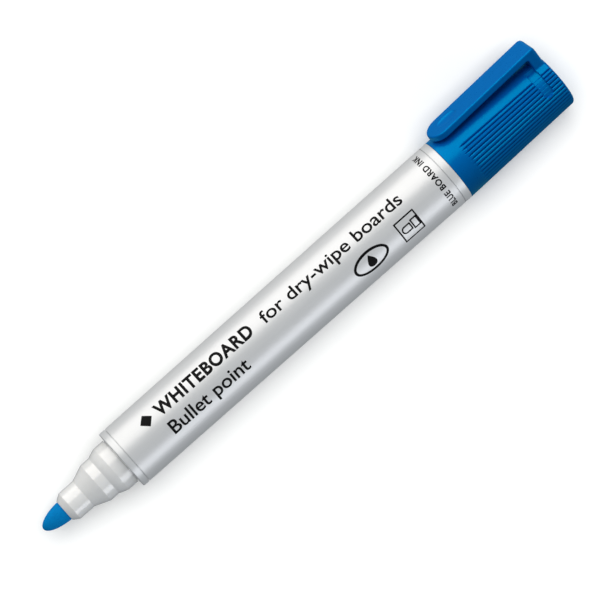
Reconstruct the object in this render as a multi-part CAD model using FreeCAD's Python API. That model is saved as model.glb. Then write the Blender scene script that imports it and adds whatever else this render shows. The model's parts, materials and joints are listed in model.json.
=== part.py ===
"""Whiteboard marker with a bullet nib and a ribbed clip cap, the cap posted on its tail.

Frame: millimetres. The marker's axis is X. The origin is on that axis at the barrel's front face, where the
nib holder leaves the barrel. The nib points to -X and the cap is at +X. Z is up: the marker lies on a
table, with its clip at the +Y side, a little above the horizontal.
"""

import FreeCAD
import Part

import math
import os

Vector = FreeCAD.Vector

# ---- barrel: a moulded tube with a little draft, widest at the tail
barrel_length = 99.1
barrel_front_d = 15.4
barrel_rear_d = 16.0
barrel_wall = 1.15
barrel_edge_round = 0.25
socket_depth = 8.0  # how deep the holder and the tail plug go in
socket_wall = 0.9  # what is left of the wall around a socket at the front
bore_rib_count = 6
bore_rib_height = 0.35  # ribs that hold the reservoir off the wall, so that air gets past
bore_rib_width = 0.8

# ---- printed film label, in a shallow recess of the barrel
label_thickness = 0.12
label_front_margin = 2.0
label_rear_margin = 1.85

# ---- steps of the nib holder, from the barrel's front face forward; the cap's inside fits them
seat_step = 1.65  # barrel radius down to the land that the cap's ribs ride on
seat_length = 3.0
collar_recess = 0.3  # the holder and the plug sit this far inside the barrel's end faces
shoulder_length = 2.3
seal_step = 0.82  # seat radius down to the land that the liner seals on
seal_length = 2.4
cone_length = 3.7
nose_wall = 1.27  # holder wall around the nib
nose_length = 4.1
mouth_chamfer = 1.6
mouth_lip = 0.15
holder_wall = 1.3

# ---- fibre nib
nib_d = 5.0
nib_exposed = 6.3
nib_in_reservoir = 6.0
nib_tail_taper = 2.0
air_channel_count = 6
air_channel_width = 0.6
air_channel_depth = 0.35
air_channel_setback = 1.0  # the channels start this far behind the holder's mouth

# ---- snap beads that hold the holder and the plug in the barrel
snap_height = 0.15
snap_half_width = 0.4
snap_from_end = 3.0  # from the barrel's end face

# ---- ink reservoir
film_thickness = 0.1

# ---- tail plug and the spigot that the cap posts on
spigot_length = 12.0
spigot_round = 1.0
plug_wall = 1.0
pusher_length = 3.1  # the ring of the plug that presses on the reservoir

# ---- cap
cap_end_room = 3.9  # between the liner's end and the cap's inner end
cap_draft_deg = 1.2
cap_wall = 1.1
cap_end_wall = 1.4
cap_mouth_round = 0.3
cap_rim_round = 0.9
cap_clearance = 0.04  # radial, between the cap's inside and what it slides over
cap_mouth_gap = 0.05  # axial, between the cap's mouth and the barrel's rear face
cap_rib_count = 8
cap_rib_width = 0.9
gate_dimple_r = 1.3
gate_dimple_depth = 0.3

# ---- liner: the soft cup inside the cap that seals the nib
liner_wall = 0.75
liner_end_wall = 0.9
liner_nib_room = 2.5  # space left ahead of a capped nib
liner_boss_r = 2.0
liner_boss_gap = 0.1

# ---- grip flutes cut in the cap
flute_pitch_deg = 7.3
flute_count = 38
flute_width = 0.55
flute_depth = 0.27
flute_start = 5.9  # from the cap's mouth
flute_run_in = 0.6

# ---- recessed band in front of the clip's root
band_width = 2.5
band_depth = 0.42
band_half_angle_deg = 84.0

# ---- clip
clip_rise_deg = 29.0  # the clip's direction above the horizontal
clip_width = 7.5
clip_thickness = 1.7
clip_tip_setback = 1.25  # from the cap's mouth
clip_tip_gap = 0.43  # between the clip's arm and the cap, at the free end
clip_root_gap = 2.27  # the same, carried on to the cap's closed end
clip_root_length = 2.8
clip_end_setback = 0.25  # the root's end stands back from the cap's end
clip_edge_round = 0.3
clip_hinge_lead = 1.2  # the bending line is this far in front of the root's wall
hinge_clearance = 0.03

# ---- places and radii that follow from the sizes above
barrel_front_r = barrel_front_d / 2
barrel_rear_r = barrel_rear_d / 2
label_start = label_front_margin
label_end = barrel_length - label_rear_margin
slim_r = min(barrel_front_r, barrel_rear_r)
socket_r = slim_r - label_thickness - socket_wall
bore_r = slim_r - label_thickness - barrel_wall
seat_r = slim_r - seat_step
seal_r = seat_r - seal_step
nib_r = nib_d / 2
nose_r = nib_r + nose_wall
seat_front = -seat_length
shoulder_front = seat_front - shoulder_length
seal_front = shoulder_front - seal_length
cone_front = seal_front - cone_length
nose_front = cone_front - nose_length
mouth_x = nose_front - mouth_chamfer
nib_tip_x = mouth_x - nib_exposed
nib_tail_x = socket_depth + nib_in_reservoir
film_r = bore_r - bore_rib_height
core_r = film_r - film_thickness
reservoir_end = barrel_length - socket_depth - pusher_length
cap_mouth_r = barrel_rear_r
liner_bore_r = seal_r + cap_clearance
liner_r = liner_bore_r + liner_wall
rib_tip_r = max(seat_r, liner_r) + cap_clearance
liner_start = seat_length + shoulder_length / 2
liner_end = -nib_tip_x + liner_nib_room + liner_end_wall
cap_length = liner_end + cap_end_room + cap_end_wall
clip_root_x = cap_length - clip_end_setback - clip_root_length
clip_end_x = cap_length - clip_end_setback
clip_hinge_x = clip_root_x - clip_hinge_lead


def barrel_outer_r(x):
    """Outer radius of the drafted barrel at x."""
    return barrel_front_r + (barrel_rear_r - barrel_front_r) * x / barrel_length


def cap_outer_r(x):
    """Outer radius of the drafted cap, x from its mouth."""
    return cap_mouth_r - x * math.tan(math.radians(cap_draft_deg))


def clip_top_z(x):
    """Height of the clip's outer face above the axis, x from the cap's mouth."""
    tip_z = cap_outer_r(clip_tip_setback) + clip_tip_gap + clip_thickness
    end_z = cap_outer_r(clip_end_x) + clip_root_gap + clip_thickness
    return tip_z + (end_z - tip_z) * (x - clip_tip_setback) / (clip_end_x - clip_tip_setback)


# ---- shape helpers


def unit(vector):
    return vector * (1 / vector.Length)


def outline(corners):
    """Closed wire in the XZ plane through (x, z) corners. A third number rounds its corner to that radius."""
    spots = [Vector(c[0], 0, c[1]) for c in corners]
    edges = []
    last_end = None
    first_start = None
    for i, corner in enumerate(corners):
        start = end = spots[i]
        arc = None
        if len(corner) > 2:
            to_before = unit(spots[i - 1] - spots[i])
            to_after = unit(spots[(i + 1) % len(spots)] - spots[i])
            half = to_before.getAngle(to_after) / 2
            reach = corner[2] / math.tan(half)
            start = spots[i] + to_before * reach
            end = spots[i] + to_after * reach
            inward = unit(to_before + to_after)
            middle = spots[i] + inward * (corner[2] / math.sin(half) - corner[2])
            arc = Part.Arc(start, middle, end).toShape()
        if last_end is not None:
            edges.append(Part.makeLine(last_end, start))
        else:
            first_start = start
        if arc is not None:
            edges.append(arc)
        last_end = end
    edges.append(Part.makeLine(last_end, first_start))
    return Part.Wire(edges)


def turned(corners):
    """Solid of revolution about the marker's axis, from a closed outline of (x, radius) corners."""
    return Part.Face(outline(corners)).revolve(Vector(0, 0, 0), Vector(1, 0, 0), 360)


def slab(corners, width):
    """The XZ outline made width thick, half of it on each side of the XZ plane."""
    face = Part.Face(outline(corners))
    face.translate(Vector(0, -width / 2, 0))
    return face.extrude(Vector(0, width, 0))


def block(x_from, x_to, width, z_from, z_to):
    """Box centred on the XZ plane."""
    return Part.makeBox(x_to - x_from, width, z_to - z_from, Vector(x_from, -width / 2, z_from))


def rod(x_from, x_to, radius):
    """Cylinder along the marker's axis."""
    return Part.makeCylinder(radius, x_to - x_from, Vector(x_from, 0, 0), Vector(1, 0, 0))


def around(shape, angle_deg):
    """A copy of the shape turned about the marker's axis."""
    copy = shape.copy()
    copy.rotate(Vector(0, 0, 0), Vector(1, 0, 0), angle_deg)
    return copy


def ring_of(shape, count):
    """Copies of the shape, evenly spaced about the marker's axis."""
    return [around(shape, 360 * i / count) for i in range(count)]


def snap_bead(x):
    """Corners of a snap bead at x, standing out from the socket's radius."""
    return [
        (x - snap_half_width, socket_r),
        (x, socket_r + snap_height),
        (x + snap_half_width, socket_r),
    ]


# ---- the pieces


def make_barrel():
    front_snap = snap_bead(snap_from_end)
    rear_snap = snap_bead(barrel_length - snap_from_end)
    tube = turned(
        [
            (0, socket_r),
            (0, barrel_front_r, barrel_edge_round),
            (label_start, barrel_outer_r(label_start)),
            (label_start, barrel_outer_r(label_start) - label_thickness),
            (label_end, barrel_outer_r(label_end) - label_thickness),
            (label_end, barrel_outer_r(label_end)),
            (barrel_length, barrel_rear_r, barrel_edge_round),
            (barrel_length, socket_r),
            *reversed(rear_snap),
            (barrel_length - socket_depth, socket_r),
            (barrel_length - socket_depth, bore_r),
            (socket_depth, bore_r),
            (socket_depth, socket_r),
            *reversed(front_snap),
        ]
    )
    into_wall = 0.1
    rib = block(socket_depth, barrel_length - socket_depth, bore_rib_width, film_r, bore_r + into_wall)
    return tube.fuse(ring_of(rib, bore_rib_count)).removeSplitter()


def make_label():
    return turned(
        [
            (label_start, barrel_outer_r(label_start) - label_thickness),
            (label_start, barrel_outer_r(label_start)),
            (label_end, barrel_outer_r(label_end)),
            (label_end, barrel_outer_r(label_end) - label_thickness),
        ]
    )


def make_nib_holder():
    inner_r = socket_r - holder_wall
    bell_start = seal_front + (inner_r - nib_r)
    body = turned(
        [
            (mouth_x, nib_r),
            (mouth_x, nib_r + mouth_lip),
            (nose_front, nose_r, 0.6),
            (cone_front, nose_r, 1.2),
            (seal_front, seal_r, 0.8),
            (shoulder_front, seal_r, 0.4),
            (seat_front, seat_r, 1.2),
            (collar_recess, seat_r),
            (collar_recess, socket_r),
            *snap_bead(snap_from_end),
            (socket_depth, socket_r),
            (socket_depth, inner_r),
            (bell_start, inner_r),
            (seal_front, nib_r),
        ]
    )
    channel = block(
        mouth_x + air_channel_setback, bell_start, air_channel_width, nib_r / 2, nib_r + air_channel_depth
    )
    return body.cut(ring_of(channel, air_channel_count))


def make_nib():
    nose = Part.Ellipse(Vector(nib_tip_x, 0, 0), Vector(mouth_x, 0, nib_r), Vector(mouth_x, 0, 0))
    bullet = Part.Arc(nose, 0, math.pi / 2).toShape()
    corners = [
        Vector(mouth_x, 0, nib_r),
        Vector(nib_tail_x - nib_tail_taper, 0, nib_r),
        Vector(nib_tail_x, 0, nib_r / 3),
        Vector(nib_tail_x, 0, 0),
        Vector(nib_tip_x, 0, 0),
    ]
    edges = [Part.makeLine(a, b) for a, b in zip(corners, corners[1:])]
    face = Part.Face(Part.Wire([bullet, *edges]))
    return face.revolve(Vector(0, 0, 0), Vector(1, 0, 0), 360)


def make_reservoir_core(nib):
    return rod(socket_depth, reservoir_end, core_r).cut(nib)


def make_reservoir_film():
    return rod(socket_depth, reservoir_end, film_r).cut(rod(socket_depth, reservoir_end, core_r))


def make_end_plug():
    """Tail plug: closes the barrel, presses the reservoir forward, and carries the same steps as the holder
    so that the cap fits at both ends."""
    tail = barrel_length
    inner_r = socket_r - plug_wall
    spigot_inner_r = seal_r - plug_wall
    return turned(
        [
            (reservoir_end, core_r - plug_wall),
            (reservoir_end, core_r),
            (tail - socket_depth, core_r),
            (tail - socket_depth, socket_r),
            *snap_bead(tail - snap_from_end),
            (tail - collar_recess, socket_r),
            (tail - collar_recess, seat_r),
            (tail + seat_length, seat_r, 0.4),
            (tail + seat_length + shoulder_length / 2, seal_r, 0.2),
            (tail + spigot_length, seal_r, spigot_round),
            (tail + spigot_length, 0),
            (tail + spigot_length - plug_wall, 0),
            (tail + spigot_length - plug_wall, spigot_inner_r),
            (tail + seat_length, spigot_inner_r),
            (tail - plug_wall, inner_r - plug_wall),
            (tail - socket_depth, inner_r - plug_wall),
            (tail - socket_depth, core_r - plug_wall),
        ]
    )


# The cap's pieces are made with the mouth at x = 0, the closed end towards +X and the clip towards +Z.


def make_cap_liner():
    return turned(
        [
            (liner_start, liner_bore_r, 0.2),
            (liner_start, liner_r),
            (liner_end, liner_r, 0.6),
            (liner_end, 0),
            (liner_end - liner_end_wall, 0),
            (liner_end - liner_end_wall, liner_bore_r, 0.4),
        ]
    )


def cap_root_block():
    """The root that joins the clip to the cap's closed end, before the cap is hollowed out."""
    buried_z = cap_outer_r(cap_length) / 2
    return slab(
        [
            (clip_hinge_x, clip_top_z(clip_hinge_x)),
            (clip_end_x, clip_top_z(clip_end_x), cap_rim_round),
            (clip_end_x, buried_z),
            (clip_root_x, buried_z),
            (clip_root_x, clip_top_z(clip_root_x) - clip_thickness, clip_edge_round),
            (clip_hinge_x, clip_top_z(clip_hinge_x) - clip_thickness),
        ],
        clip_width,
    )


def flute_cutters():
    """Narrow cutters that follow the cap's draft, each with a sloping start."""
    past_end = cap_length + 1
    outside = cap_mouth_r + 1
    cutter = slab(
        [
            (flute_start, cap_outer_r(flute_start)),
            (flute_start + flute_run_in, cap_outer_r(flute_start + flute_run_in) - flute_depth),
            (past_end, cap_outer_r(past_end) - flute_depth),
            (past_end, outside),
            (flute_start, outside),
        ],
        flute_width,
    )
    first = 180 - flute_pitch_deg * (flute_count - 1) / 2
    return [around(cutter, first + flute_pitch_deg * i) for i in range(flute_count)]


def band_cutter():
    """Shallow band with round ends, centred on the clip, just in front of its root."""
    middle_x = clip_root_x - band_width / 2
    outside = cap_mouth_r + 1
    floor_r = cap_outer_r(middle_x) - band_depth
    shell = rod(clip_root_x - band_width, clip_root_x, outside).cut(
        rod(clip_root_x - band_width, clip_root_x, floor_r)
    )
    end_angle = band_half_angle_deg - math.degrees(band_width / 2 / cap_outer_r(middle_x))
    wedge = Part.Face(
        Part.makePolygon(
            [
                Vector(clip_root_x - band_width, 0, 0),
                Vector(clip_root_x - band_width, 0, outside),
                Vector(clip_root_x, 0, outside),
                Vector(clip_root_x, 0, 0),
                Vector(clip_root_x - band_width, 0, 0),
            ]
        )
    ).revolve(Vector(0, 0, 0), Vector(1, 0, 0), 2 * end_angle)
    wedge = around(wedge, -end_angle)
    end = Part.makeCylinder(band_width / 2, outside, Vector(middle_x, 0, 0), Vector(0, 0, 1))
    zone = wedge.fuse([around(end, end_angle), around(end, -end_angle)])
    return shell.common(zone)


def make_cap_shell():
    outer = turned(
        [
            (0, 0),
            (0, cap_mouth_r, cap_mouth_round),
            (cap_length, cap_outer_r(cap_length), cap_rim_round),
            (cap_length, gate_dimple_r),
            (cap_length - gate_dimple_depth, gate_dimple_r),
            (cap_length - gate_dimple_depth, 0),
        ]
    )
    ceiling = cap_length - cap_end_wall
    cavity = turned(
        [
            (0, 0),
            (0, cap_outer_r(0) - cap_wall),
            (ceiling, cap_outer_r(ceiling) - cap_wall),
            (ceiling, 0),
        ]
    )
    into_wall = 0.2
    rib = block(0.5, ceiling, cap_rib_width, 0, cap_mouth_r - cap_wall)
    ribs = cavity.common(rib.multiFuse(ring_of(rib, cap_rib_count)))
    body = outer.cut(flute_cutters()).cut(band_cutter())
    body = body.fuse(cap_root_block())
    body = body.cut(cavity).fuse(ribs).cut(rod(0, ceiling, rib_tip_r))
    boss = rod(liner_end + liner_boss_gap, ceiling + into_wall, liner_boss_r)
    knuckle_seat = clip_knuckle(clip_thickness / 2 + hinge_clearance)
    return body.fuse(boss).cut(knuckle_seat)


def clip_knuckle(radius):
    """Cylinder across the clip at its bending line."""
    centre_z = clip_top_z(clip_hinge_x) - clip_thickness / 2
    start = Vector(clip_hinge_x, -clip_width, centre_z)
    return Part.makeCylinder(radius, 2 * clip_width, start, Vector(0, 1, 0))


def make_cap_clip():
    arm = slab(
        [
            (clip_tip_setback, clip_top_z(clip_tip_setback)),
            (clip_hinge_x, clip_top_z(clip_hinge_x)),
            (clip_hinge_x, clip_top_z(clip_hinge_x) - clip_thickness),
            (clip_tip_setback, clip_top_z(clip_tip_setback) - clip_thickness),
        ],
        clip_width,
    )
    knuckle = clip_knuckle(clip_thickness / 2).common(
        block(clip_tip_setback, cap_length, clip_width, 0, 2 * clip_top_z(clip_end_x))
    )
    nose_x = clip_tip_setback + clip_width / 2
    plan = Part.makeCylinder(clip_width / 2, 2 * clip_top_z(clip_end_x), Vector(nose_x, 0, 0))
    plan = plan.fuse(block(nose_x, cap_length, clip_width, 0, 2 * clip_top_z(clip_end_x)))
    arm = arm.fuse(knuckle).common(plan).removeSplitter()
    rims = [e for e in arm.Edges if is_outer_rim(e)]
    return arm.makeFillet(clip_edge_round, rims)


def is_outer_rim(edge):
    """True for the edges around the clip's outer face, apart from the one at the bending line."""
    ends = [v.Point for v in edge.Vertexes]
    on_top = all(abs(p.z - clip_top_z(p.x)) < 1e-3 for p in ends)
    along_hinge = all(abs(p.x - clip_hinge_x) < 0.2 for p in ends)
    return on_top and not along_hinge


def posted(shape):
    """A cap piece turned to the clip's side and moved on to the barrel's tail."""
    shape = around(shape, -(90 - clip_rise_deg))
    shape.translate(Vector(barrel_length + cap_mouth_gap, 0, 0))
    return shape


def main():
    nib = make_nib()
    pieces = {
        "barrel": make_barrel(),
        "barrel_label": make_label(),
        "nib_holder": make_nib_holder(),
        "nib": nib,
        "reservoir_core": make_reservoir_core(nib),
        "reservoir_film": make_reservoir_film(),
        "end_plug": make_end_plug(),
        "cap_liner": posted(make_cap_liner()),
        "cap_shell": posted(make_cap_shell()),
        "cap_clip": posted(make_cap_clip()),
    }
    os.makedirs("parts", exist_ok=True)
    for name, shape in pieces.items():
        solids = shape.Solids
        if not shape.isValid() or not solids:
            raise ValueError(f"{name} is not a valid solid")
        whole = solids[0] if len(solids) == 1 else Part.Compound(solids)
        whole.exportStep(f"parts/{name}.step")
        box = shape.BoundBox
        print(
            f"{name}: {len(solids)} solid, {shape.Volume:.1f} mm3, x {box.XMin:.2f} to {box.XMax:.2f},"
            f" y {box.YMin:.2f} to {box.YMax:.2f}, z {box.ZMin:.2f} to {box.ZMax:.2f}"
        )


main()
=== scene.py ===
# %% [markdown]
# # A whiteboard marker with its cap pushed on its tail
# This lesson dresses a CAD model of a felt tip marker. The CAD model holds the sizes, the fits and the
# joints, and it is loaded first, as a frame that never moves. Every piece that shows is then built again
# around it as a fine mesh, because CAD surfaces come in as triangles with hard edges, and a close view
# needs rounded edges that catch a line of light. All lengths are in metres in the frame's own axes: the
# nib points to -X and the cap is at +X.

# %% Load the frame and keep its box
import json
import math

import bmesh
import bpy
import numpy as np
from mathutils import Matrix, Vector


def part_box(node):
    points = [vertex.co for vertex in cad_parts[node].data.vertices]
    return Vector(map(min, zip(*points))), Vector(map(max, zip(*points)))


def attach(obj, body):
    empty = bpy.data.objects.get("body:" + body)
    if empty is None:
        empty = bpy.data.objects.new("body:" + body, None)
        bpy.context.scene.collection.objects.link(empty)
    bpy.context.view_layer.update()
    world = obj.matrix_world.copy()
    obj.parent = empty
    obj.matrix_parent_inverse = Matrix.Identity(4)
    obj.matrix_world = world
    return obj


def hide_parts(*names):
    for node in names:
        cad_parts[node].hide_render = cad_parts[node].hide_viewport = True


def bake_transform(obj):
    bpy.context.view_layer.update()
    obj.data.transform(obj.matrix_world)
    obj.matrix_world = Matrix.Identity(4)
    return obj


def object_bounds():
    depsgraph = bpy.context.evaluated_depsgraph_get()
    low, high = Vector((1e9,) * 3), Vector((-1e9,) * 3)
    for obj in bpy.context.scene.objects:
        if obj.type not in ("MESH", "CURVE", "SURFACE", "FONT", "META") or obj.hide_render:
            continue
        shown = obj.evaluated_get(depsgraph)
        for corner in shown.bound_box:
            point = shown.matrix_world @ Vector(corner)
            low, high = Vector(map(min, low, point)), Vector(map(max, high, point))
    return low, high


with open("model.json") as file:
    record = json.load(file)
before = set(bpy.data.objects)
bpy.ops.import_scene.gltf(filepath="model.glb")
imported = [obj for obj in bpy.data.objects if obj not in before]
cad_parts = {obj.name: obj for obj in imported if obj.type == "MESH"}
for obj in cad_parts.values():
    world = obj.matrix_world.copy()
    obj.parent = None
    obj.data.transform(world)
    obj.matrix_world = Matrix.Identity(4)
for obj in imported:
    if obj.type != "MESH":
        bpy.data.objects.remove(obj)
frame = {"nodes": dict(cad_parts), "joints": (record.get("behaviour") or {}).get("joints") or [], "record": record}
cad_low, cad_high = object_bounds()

MM = 0.001
print("nodes:", ", ".join(sorted(frame["nodes"])))
print("box of the CAD model, mm:", [round(v / MM, 2) for v in (*cad_low, *cad_high)])

# %% [markdown]
# ## Places and radii from the frame
# A lathe-made object is described by where its steps lie along its axis and how wide it is there. The
# ends of each piece are read from the frame, so the meshes follow the CAD model. The few sizes that a
# box can't give, such as the radius of each step of the nib holder, are written once here.

# %% Read the ends of the pieces
BARREL_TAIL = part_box("barrel")[1].x
BARREL_FRONT_R = 7.7 * MM
BARREL_TAIL_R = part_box("barrel")[1].z
LABEL_LEAD = 0.35 * MM  # the film starts this much further forward than its CAD node
LABEL_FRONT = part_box("barrel_label")[0].x - LABEL_LEAD
LABEL_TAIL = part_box("barrel_label")[1].x
HOLDER_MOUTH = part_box("nib_holder")[0].x
HOLDER_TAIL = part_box("nib_holder")[1].x
NIB_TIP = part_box("nib")[0].x
NIB_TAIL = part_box("nib")[1].x
PLUG_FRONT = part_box("end_plug")[0].x
PLUG_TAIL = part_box("end_plug")[1].x
CAP_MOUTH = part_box("cap_shell")[0].x
CAP_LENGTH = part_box("cap_shell")[1].x - CAP_MOUTH
FLOOR_Z = cad_low.z

mounts = {mount["name"]: mount for mount in frame["record"]["mounts"]}
joints = {joint["name"]: joint for joint in frame["joints"]}
SEAT_R = mounts["cap_seat"]["dims"]["r_mm"] * MM
SEAL_STEP = 0.82 * MM
SEAL_R = SEAT_R - SEAL_STEP
BARREL_WALL = 1.02 * MM
SOCKET_R = BARREL_FRONT_R - BARREL_WALL
NIB_R = 2.5 * MM
print("barrel", round(BARREL_TAIL / MM, 2), "mm long, cap", round(CAP_LENGTH / MM, 2), "mm long")

# %% [markdown]
# ## Helpers for meshes
# Almost every piece of a marker is turned about one axis. A screw modifier could turn an outline, but it
# can't vary a ring from column to column, so a short function does it here. An outline of (x, radius)
# corners is rounded with small arcs, and each point of it becomes a ring of vertices. A ring of no
# radius is one vertex on the axis. The angle runs from straight up towards +Y, which is the side that
# the clip is on.


# %% Round the corners of an outline
def rounded(corners, arc_steps=5):
    """Points (x, r) through the corners. A corner's third number is the radius that it is rounded to."""
    spots = [Vector((c[0], c[1])) for c in corners]
    points = []
    for i, corner in enumerate(corners):
        if len(corner) == 2:
            points.append(spots[i])
            continue
        to_before = (spots[i - 1] - spots[i]).normalized()
        to_after = (spots[(i + 1) % len(spots)] - spots[i]).normalized()
        half = to_before.angle(to_after) / 2
        reach = corner[2] / math.tan(half)
        centre = spots[i] + (to_before + to_after).normalized() * corner[2] / math.sin(half)
        start = (spots[i] + to_before * reach - centre).normalized()
        end = (spots[i] + to_after * reach - centre).normalized()
        for step in range(arc_steps + 1):
            share = step / arc_steps
            points.append(centre + start.slerp(end, share) * corner[2])
    return [(p.x, p.y) for p in points]


# %% Turn an outline into rings of vertices
def ring_of_points(x, radius, angles):
    """Vertices of one ring. radius is a number, or one number for each angle."""
    return np.stack([np.full(len(angles), x), radius * np.sin(angles), radius * np.cos(angles)], axis=1)


def turned(outline, angles, closed, radius_at=None):
    """Vertices and faces of an outline turned about the X axis.

    closed joins the last ring to the first, as in a tube. radius_at takes a ring's index, x and radius, and
    may give one radius for each angle.
    """
    vertices = []
    rings = []
    for index, (x, r) in enumerate(outline):
        first = len(vertices)
        if r <= 0:
            vertices.append((x, 0.0, 0.0))
            rings.append([first])
            continue
        radius = radius_at(index, x, r) if radius_at else r
        vertices.extend(ring_of_points(x, radius, angles).tolist())
        rings.append(list(range(first, first + len(angles))))
    faces = []
    pairs = list(zip(rings, rings[1:]))
    if closed:
        pairs.append((rings[-1], rings[0]))
    for a, b in pairs:
        for k in range(len(angles)):
            n = (k + 1) % len(angles)
            if len(a) == 1 and len(b) == 1:
                break
            if len(a) == 1:
                faces.append((a[0], b[k], b[n]))
            elif len(b) == 1:
                faces.append((a[k], b[0], a[n]))
            else:
                faces.append((a[k], b[k], b[n], a[n]))
    return vertices, faces


def even_angles(count):
    """Angles of count columns, evenly spread around the axis."""
    return np.arange(count) * 2 * math.pi / count


# %% [markdown]
# ## From faces to a finished object
# Smooth shading alone smears a flat face into the small round beside it. Weighted normals let the large
# faces keep their own direction, so that each round shows as a crisp line of light. The modifier is
# applied at once, so the normals belong to the mesh itself.

# %% Make an object of vertices and faces
SAME_SPOT = 1e-7
LARGE_FACE_WEIGHT = 90
LATHE_COLUMNS = 192


def new_piece(name, vertices, faces, finish, sharp_deg=38):
    """A mesh object of vertices and faces."""
    mesh = bpy.data.meshes.new(name)
    mesh.from_pydata(vertices, [], faces)
    return piece_from(name, mesh, finish, sharp_deg)


def piece_from(name, mesh, finish, sharp_deg=38):
    """An object whose faces point outwards, shaded smooth except at edges sharper than sharp_deg."""
    shape = bmesh.new()
    shape.from_mesh(mesh)
    bmesh.ops.remove_doubles(shape, verts=shape.verts, dist=SAME_SPOT)
    bmesh.ops.recalc_face_normals(shape, faces=shape.faces)
    shape.to_mesh(mesh)
    shape.free()
    mesh.shade_smooth()
    mesh.set_sharp_from_angle(angle=math.radians(sharp_deg))
    mesh.materials.clear()
    mesh.materials.append(finish)
    piece = bpy.data.objects.new(name, mesh)
    bpy.context.scene.collection.objects.link(piece)
    weighted = piece.modifiers.new("normals", "WEIGHTED_NORMAL")
    weighted.keep_sharp = True
    weighted.weight = LARGE_FACE_WEIGHT
    bpy.context.view_layer.update()
    depsgraph = bpy.context.evaluated_depsgraph_get()
    mesh = bpy.data.meshes.new_from_object(piece.evaluated_get(depsgraph))
    mesh.name = name
    piece.modifiers.clear()
    piece.data = mesh
    print(f"{name}: {len(mesh.vertices)} vertices, {len(mesh.polygons)} faces")
    return piece


def lathe(name, corners, finish):
    """A closed outline of corners, rounded and turned about the X axis into a piece."""
    vertices, faces = turned(rounded(corners), even_angles(LATHE_COLUMNS), closed=True)
    return new_piece(name, vertices, faces, finish)


# %% [markdown]
# ## Helpers for materials
# Plastic colours are chosen as sRGB hex values, as on a paint chart, but a shader adds up light, so one
# function turns them to linear values. One more function adds a shader node with its settings and its
# links. Patterns are laid out in object space, in metres, so the scale of a noise is one over the size
# of its grains.


# %% Colours and nodes
def linear(hex_colour):
    """The linear RGBA of an sRGB hex colour."""
    channels = [int(hex_colour[i : i + 2], 16) / 255 for i in (0, 2, 4)]
    bent = [c / 12.92 if c <= 0.04045 else ((c + 0.055) / 1.055) ** 2.4 for c in channels]
    return (*bent, 1.0)


def add_node(material, kind, inputs=None, **settings):
    """Adds a node. Each input takes a value, or an output of another node to link."""
    made = material.node_tree.nodes.new(kind)
    for name, value in settings.items():
        setattr(made, name, value)
    for socket, value in (inputs or {}).items():
        if isinstance(value, bpy.types.NodeSocket):
            material.node_tree.links.new(value, made.inputs[socket])
        else:
            made.inputs[socket].default_value = value
    return made


def new_finish(name, **inputs):
    """A material with one Principled shader, whose inputs are given with _ for each space."""
    material = bpy.data.materials.new(name)
    material.use_nodes = True
    material.node_tree.nodes.clear()
    named = {key.replace("_", " "): value for key, value in inputs.items()}
    shader = add_node(material, "ShaderNodeBsdfPrincipled", named)
    add_node(material, "ShaderNodeOutputMaterial", {"Surface": shader.outputs[0]})
    return material, shader


print("mid grey 808080 is", round(linear("808080")[0], 3), "in linear light")

# %% [markdown]
# ### Patterns
# A moulded or drawn surface is never quite even. One noise can vary the colour, the roughness and the
# relief together, as one cause does on the real surface. An image would repeat or run out of detail, and
# a noise does neither.


# %% Noise, and what it varies
def grains(material, size, stretch=(1, 1, 1), detail=2.0):
    """Noise from 0 to 1 whose grains are about size across, drawn out along X, Y or Z by stretch."""
    place = add_node(material, "ShaderNodeTexCoord")
    scale = [1 / (size * s) for s in stretch]
    scaled = add_node(
        material, "ShaderNodeVectorMath", {0: place.outputs["Object"], 1: scale}, operation="MULTIPLY"
    )
    noise = add_node(
        material, "ShaderNodeTexNoise", {"Vector": scaled.outputs[0], "Scale": 1.0, "Detail": detail}
    )
    return noise.outputs[0]


def vary_colour(material, shader, noise, dark, light):
    """Base colour that drifts between two close colours."""
    # Sockets 6 and 7 are the Mix node's two colours, and its output 2 is the mixed colour.
    shades = {0: noise, 6: linear(dark), 7: linear(light)}
    ramp = add_node(material, "ShaderNodeMix", shades, data_type="RGBA")
    material.node_tree.links.new(ramp.outputs[2], shader.inputs["Base Color"])


def vary_roughness(material, shader, noise, low, high):
    """Roughness that drifts between two values."""
    spread = add_node(material, "ShaderNodeMapRange", {0: noise, 3: low, 4: high})
    material.node_tree.links.new(spread.outputs[0], shader.inputs["Roughness"])


def emboss(material, shader, noise, depth):
    """Surface relief, depth metres from valley to peak."""
    bump = add_node(material, "ShaderNodeBump", {"Height": noise, "Distance": depth, "Strength": 1.0})
    material.node_tree.links.new(bump.outputs[0], shader.inputs["Normal"])


# %% [markdown]
# ## Finishes
# Each finish starts from what the real one is. Most plastics have an index of refraction near 1.5. What
# tells one moulding from another is the mould: a polished mould gives a tight highlight, and a
# spark-eroded one a broad soft highlight with a fine grain. A number that is the same all over a surface
# stands on the shader's own socket.
#
# The first finish is the barrel's: polypropylene with silver pearl flakes in it, moulded in a polished
# mould. It could be a plain metal, but a metal has no pale body under its reflections and goes too dark
# between the lights. A plastic that is about a third metal keeps the body and still mirrors the lights
# in broad bands.

# %% Silver pearl polypropylene of the barrel
# The flakes line up with the flow of the melt, so their clouds are drawn out along the barrel.
silver_pp, shader = new_finish("silver_polypropylene", Metallic=0.35, IOR=1.49)
flow = grains(silver_pp, 1.2 * MM, stretch=(6, 1, 1))
vary_colour(silver_pp, shader, flow, "d9dbdc", "dfe0e1")
vary_roughness(silver_pp, shader, flow, 0.34, 0.4)
emboss(silver_pp, shader, grains(silver_pp, 0.5 * MM, stretch=(4, 1, 1)), 0.001 * MM)
print(silver_pp.name)

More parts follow.
